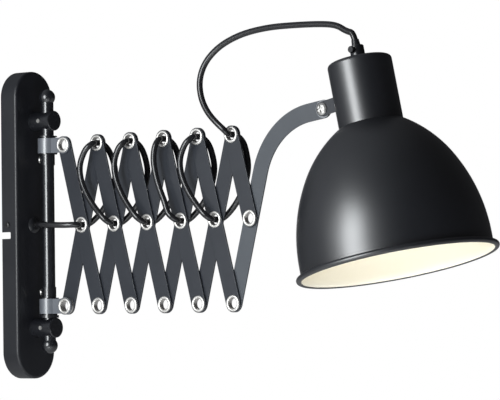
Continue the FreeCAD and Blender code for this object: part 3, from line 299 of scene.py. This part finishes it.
strap_paint = Finish("slate_enamel", ior=1.8)
strap_cloud = strap_paint.grain(40.0, 2.0)
strap_paint.tint(strap_cloud, (0.080, 0.087, 0.100), (0.098, 0.105, 0.118))
strap_paint.set("Roughness", 0.30 + 0.08 * strap_cloud)
strap_paint.onto("upper_strap", "lower_strap")

# ---- Bars of the scissor, bent arm and knuckle --------------------------------------------------
# Flat steel bars with round ends cross in two layers, enamelled in a dark grey like the tab on
# the cup. A bent arm in a lighter grey reaches from the last pivots to the tab, and the knuckle's
# screw and nut join it to that.

bar_paint = Finish("dark_bar_enamel", ior=1.5)
bar_cloud = bar_paint.grain(30.0, 3.0)
drawn = bar_paint.grain(220.0, 3.0, stretch=(1.0, 1.0, 0.08))
bar_paint.tint(bar_cloud, (0.014, 0.016, 0.0205), (0.020, 0.0225, 0.028))
bar_paint.set("Roughness", 0.27 + 0.05 * bar_cloud + 0.03 * drawn)
bar_paint.onto(*(f"front_bar_{i}" for i in range(1, 7)), *(f"back_bar_{i}" for i in range(1, 6)),
               "head_tab", "tab_rivets")

arm_paint = Finish("grey_arm_enamel", ior=1.5)
arm_cloud = arm_paint.grain(30.0, 3.0)
arm_paint.tint(arm_cloud, (0.041, 0.046, 0.054), (0.053, 0.059, 0.067))
arm_paint.set("Roughness", 0.32 + 0.08 * arm_cloud)
arm_paint.onto("curved_arm")

burnished = Finish("burnished_steel", metallic=1.0)
burnished_mottle = burnished.grain(600.0, 2.0)
burnished.tint(burnished_mottle, (0.16, 0.165, 0.175), (0.24, 0.245, 0.255))
burnished.set("Roughness", 0.30 + 0.12 * burnished_mottle)
burnished.onto("knuckle_nut")
bright_steel.onto("knuckle_screw")

# ---- Eyelets ------------------------------------------------------------------------------------
# Rolled eyelets of nickel-plated brass join the bars, with thin washers between the layers.

nickel = Finish("satin_nickel", metallic=1.0)
nickel_mottle = nickel.grain(700.0, 3.0)
nickel_tone = nickel.grain(90.0, 2.0)
nickel.tint(nickel_tone, (0.62, 0.60, 0.57), (0.74, 0.725, 0.70))
nickel.set("Roughness", 0.42 + 0.10 * nickel_mottle)
nickel.onto(*(f"eyelets_{i}" for i in range(1, 7)), "first_pivot_eyelet")

# ---- Lamp holder, shade ring and bulb -----------------------------------------------------------
# A pale moulded holder hangs in the cup on the cord grip, a threaded ring clamps the shade to
# it, and a frosted bulb is screwed in.

moulding.onto("lamp_holder", "shade_ring")

frosted = Finish("frosted_glass", ior=1.45, transmission_weight=0.25)
frosted.tint(frosted.grain(40.0), (0.90, 0.88, 0.82), (0.97, 0.95, 0.90))
frosted.set("Roughness", 0.40 + 0.10 * frosted.grain(1200.0))
frosted.onto("bulb")

# ---- Cup, cord grip and grommet -----------------------------------------------------------------
# The spun cup over the holder has the shade's satin paint. The grip, its collar and knob, and
# the bush in the wall plate are moulded in glossy black plastic.

shade_black = Finish("satin_black_shade", ior=1.75)
shade_cloud = shade_black.grain(18.0, 3.0)
shade_speckle = shade_black.grain(2100.0, 2.0)
shade_black.tint(shade_cloud, (0.003, 0.0035, 0.005), (0.006, 0.0065, 0.0085))
shade_black.set("Roughness", 0.32 + 0.05 * shade_cloud + 0.04 * shade_speckle)
shade_black.relief(shade_speckle, 0.00005, 0.3)
shade_black.onto("socket_cup")

glossy = Finish("glossy_black_plastic", ior=1.5)
glossy_cloud = glossy.grain(150.0, 2.0)
glossy.tint(glossy_cloud, (0.006, 0.0065, 0.008), (0.010, 0.0105, 0.0125))
glossy.set("Roughness", 0.24 + 0.10 * glossy_cloud)
glossy.onto("cord_grip", "grip_collar", "grip_screw", "cord_grommet")

# ---- Shade --------------------------------------------------------------------------------------
# A deep dome spun from sheet, its lip rolled outwards over a wire. It is satin black outside and
# a warm white enamel inside. Its sizes are in millimetres, from its axis and up from its rim.

TILT = math.radians(12.3)
head_up = np.array((-math.sin(TILT), 0.0, math.cos(TILT)))
head_out = np.array((math.cos(TILT), 0.0, math.sin(TILT)))
rim_centre = np.array((0.526278, 0.0, -0.056459))


def arc_points(centre, radius, first, last, count):
    """Points of a circle's arc: centre + radius (cos t, sin t), t evenly from first to last."""
    t = np.radians(np.linspace(first, last, count))
    return np.column_stack((centre[0] + radius * np.cos(t), centre[1] + radius * np.sin(t)))


def spun(name, profile, count):
    """Surface of revolution about the shade's axis.

    A profile point (r, s) goes round to rim_centre + s up + r (cos t out + sin t across), with
    t in count even steps.
    """
    profile = np.asarray(profile) / 1000.0
    t = np.linspace(0.0, 2.0 * np.pi, count, endpoint=False)
    across = np.array((0.0, 1.0, 0.0))
    ring = np.cos(t)[:, None] * head_out + np.sin(t)[:, None] * across
    points = (rim_centre + profile[:, None, 1, None] * head_up
              + profile[:, None, 0, None] * ring[None]).reshape(-1, 3)
    row, column = np.meshgrid(np.arange(len(profile) - 1), np.arange(count), indexing="ij")
    after = (column + 1) % count
    faces = np.stack((row * count + column, row * count + after,
                      (row + 1) * count + after, (row + 1) * count + column), axis=-1)
    mesh = bpy.data.meshes.new(name)
    mesh.from_pydata(points, [], faces.reshape(-1, 4).tolist())
    mesh.polygons.foreach_set("use_smooth", np.ones(len(mesh.polygons), bool))
    made = bpy.data.objects.new(name, mesh)
    bpy.context.scene.collection.objects.link(made)
    return made


SPOKES = 192
dome_r, straight, side_r, side_turn, crown_r, wall = 99.35, 17.2, 175.8, 29.4, 128.59, 1.0
top_height, top_hole_r = 149.0, 21.0
bead_out, bead_r, bead_seam, above_bead = 102.05, 2.95, 155.0, 4.6
side_centre = np.array((dome_r - side_r, straight))
side_end = math.radians(side_turn)
crown_centre = side_centre + (side_r - crown_r) * np.array((math.cos(side_end),
                                                            math.sin(side_end)))


def dome_line(inset):
    """The dome's half section at a depth under its outside: a straight foot and two arcs."""
    top = top_height - inset
    top_turn = math.degrees(math.asin((top - crown_centre[1]) / (crown_r - inset)))
    return np.vstack((
        np.column_stack((np.full(4, dome_r - inset), np.linspace(above_bead, straight, 4))),
        arc_points(side_centre, side_r - inset, 0.0, side_turn, 26)[1:],
        arc_points(crown_centre, crown_r - inset, side_turn, top_turn, 30)[1:],
        ((top_hole_r, top),)))


bead = arc_points((bead_out, bead_r), bead_r, bead_seam, -bead_seam, 22)
outside, inside = dome_line(0.0), dome_line(wall)
shade = spun("dome_shade_skin", np.vstack((outside[::-1], bead[:-1], inside, outside[-1:])),
             SPOKES)

white_enamel = Finish("warm_white_enamel", ior=1.5)
enamel_cloud = white_enamel.grain(22.0, 2.0)
white_enamel.tint(enamel_cloud, (0.96, 0.895, 0.745), (0.97, 0.92, 0.79))
white_enamel.set("Roughness", 0.34 + 0.08 * enamel_cloud)
white_enamel.relief(white_enamel.grain(1600.0, 2.0), 0.00004, 0.3)

shade.data.materials.append(shade_black.material)
shade.data.materials.append(white_enamel.material)
black_bands = len(outside) + len(bead) - 2
paint = np.zeros(len(shade.data.polygons), np.int32)
paint[black_bands * SPOKES:] = 1
shade.data.polygons.foreach_set("material_index", paint)
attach(shade, "head")
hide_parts("dome_shade")

# ---- Cord ---------------------------------------------------------------------------------------
# A round black sheathed lead comes through the plate's bush, passes beside the rod and laces
# through the eyelets, front and back in turn. A free loop then rises to the shade's cord grip.
# Its routes are in millimetres, and the points of a loop are counted from the eyelet it leaves.

CORD = 0.0066

sheath = Finish("black_cord_sheath", ior=1.5)
sheath_cloud = sheath.grain(60.0, 1.0)
sheath.tint(sheath_cloud, (0.006, 0.006, 0.007), (0.010, 0.010, 0.011))
sheath.set("Roughness", 0.24 + 0.04 * sheath_cloud)

BAR, LEAN, FIRST_X, MIDDLE_Z = 185.3, math.radians(15.0), 70.3, -2.0
PITCH, SPAN = BAR * math.sin(LEAN), BAR * math.cos(LEAN)
top = [np.array((FIRST_X + i * PITCH, 0.0, MIDDLE_Z + SPAN / 2)) for i in range(6)]
mid = [np.array((FIRST_X + (i + 0.5) * PITCH, 0.0, MIDDLE_Z)) for i in range(6)]
AT_LIP, TURNED, BESIDE = 6.6, 11.4, 13.1


def cord_line(name, route):
    """A smooth spline of order 3 with the route's points, in metres, as its control points."""
    curve = bpy.data.curves.new(name, "CURVE")
    curve.dimensions, curve.resolution_u = "3D", 16
    spline = curve.splines.new("NURBS")
    route = np.asarray(route, float) / 1000.0
    spline.points.add(len(route) - 1)
    spline.points.foreach_set("co", np.column_stack((route, np.ones(len(route)))).ravel())
    spline.order_u, spline.use_endpoint_u = 3, True
    return curve


def cord_piece(name, route, body, node, joined_to=None):
    """A tube along the route's spline, riding on a body; one that joins two bodies is left as a
    mesh in place, on no body.
    """
    curve = cord_line(name, route)
    piece = bpy.data.objects.new(name, curve)
    path = None
    if joined_to:
        line = bpy.data.meshes.new_from_object(piece)
        path = np.empty(len(line.vertices) * 3)
        line.vertices.foreach_get("co", path)
        path = path.reshape(-1, 3)
    curve.bevel_depth, curve.bevel_resolution, curve.use_fill_caps = CORD / 2, 6, True
    curve.materials.append(sheath.material)
    if joined_to:
        tube = bpy.data.meshes.new_from_object(piece)
        bpy.data.objects.remove(piece)
        piece = bpy.data.objects.new(name, tube)
    bpy.context.scene.collection.objects.link(piece)
    if joined_to:
        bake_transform(piece)
    else:
        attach(piece, body)
    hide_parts(node)


def threaded(pivot, side, way, reach=12.0):
    """Points of a stretch that leaves an eyelet to one side and bends along the bars.

    It is AT_LIP, TURNED and then BESIDE away from the plane between the front and back bars.
    """
    return [tuple(pivot + (way[0] * along, side * out, way[1] * along))
            for along, out in ((0.0, 0.0), (0.0, AT_LIP), (5.0, TURNED), (reach, BESIDE))]


def slacker(points, chord, slack):
    """Scales how far points lie from the straight line between two eyelets."""
    points = np.array(points)
    on_line = chord[0] * points[:, 2] / chord[2]
    points[:, 0] = on_line + slack * (points[:, 0] - on_line)
    return points


front_loop = [(-15.6, -13.5, -24.0), (-13.8, -13.5, -40.5), (-6.0, -13.5, -56.0),
              (3.6, -13.2, -69.0)]
for i, slack, way, length in ((2, 1.0, (-0.68, -0.73), 0.122), (3, 0.88, (-0.62, -0.78), 0.119),
                              (4, 0.46, (-0.22, -0.97), 0.112), (5, 0.95, (-0.66, -0.75), 0.121)):
    start, end = top[i - 1], mid[i - 1]
    route = np.vstack((threaded(start, -1, way), start + slacker(front_loop, end - start, slack),
                       threaded(end, -1, (-0.71, 0.71))[::-1]))
    cord_piece(f"front_loop_{i}", route, f"front_link_{i}", f"cord_front_loop_{i}")

back_arc = [(14.5, 13.2, 12.5), (25.0, 13.3, 25.0), (33.0, 13.3, 40.0), (36.5, 13.3, 56.0),
            (33.4, 13.2, 70.5)]
for i, slack, length in ((1, 1.08, 0.121), (2, 1.04, 0.120), (3, 0.98, 0.119), (4, 1.0, 0.119),
                         (5, 0.94, 0.118)):
    start, end = mid[i - 1], top[i]
    route = np.vstack((threaded(start, 1, (0.80, 0.60))[:-1],
                       start + slacker(back_arc, end - start, slack),
                       threaded(end, 1, (0.50, -0.86), 11.0)[::-1]))
    cord_piece(f"back_arc_{i}", route, f"back_link_{i}", f"cord_back_arc_{i}")

near_plate = [(8.0, -2.0, 23.8), (8.0, -2.0, 16.2), (9.2, -2.0, 8.6), (13.4, -2.0, 0.0),
              (30.6, -2.0, 0.0), (36.2, -10.6, -0.3), (44.0, -17.0, -0.7)]
near_link = [tuple(mid[0] + p) for p in ((-38.3, -19.0, 0.8), (-24.3, -17.6, 0.2),
                                         (-13.3, -14.8, -0.2))]
joint_of_stretch = tuple((np.array(near_link[0]) + near_link[1]) / 2.0)
cord_piece("wall_stretch", near_plate + [near_link[0], joint_of_stretch], "root",
           "cord_wall_stretch", "lower_bracket")
into_eyelet = threaded(mid[0], -1, (-1.0, 0.0))[-2::-1]
cord_piece("link_stretch", [joint_of_stretch] + near_link[1:] + into_eyelet,
           "lower_bracket", "cord_wall_stretch", "back_link_1")

free_rise = [(-10.5, -13.5, 12.5), (-22.5, -14.0, 24.5), (-31.0, -14.0, 40.0),
             (-34.0, -13.0, 59.0), (-27.0, -12.0, 77.0), (-12.0, -10.5, 91.0)]
free_run = [(6.0, -9.0, 100.0), (28.0, -7.0, 106.5), (58.0, -5.0, 110.0), (89.5, -3.0, 110.0),
            (121.5, -1.5, 109.0), (142.0, -0.5, 106.5), (154.5, 0.0, 99.0)]
seam = (-3.0, -9.75, 95.5)
rise = threaded(top[5], -1, (-0.34, 0.94))[:-1] + [tuple(top[5] + p) for p in free_rise + [seam]]
grip_line = [tuple(1000.0 * rim_centre + s * head_up) for s in (246.5, 233.0)]
cord_piece("free_loop_rise", rise, "front_link_6", "cord_free_loop", "arm")
cord_piece("free_loop_run", [tuple(top[5] + p) for p in [seam] + free_run] + grip_line,
           "arm", "cord_free_loop", "head")
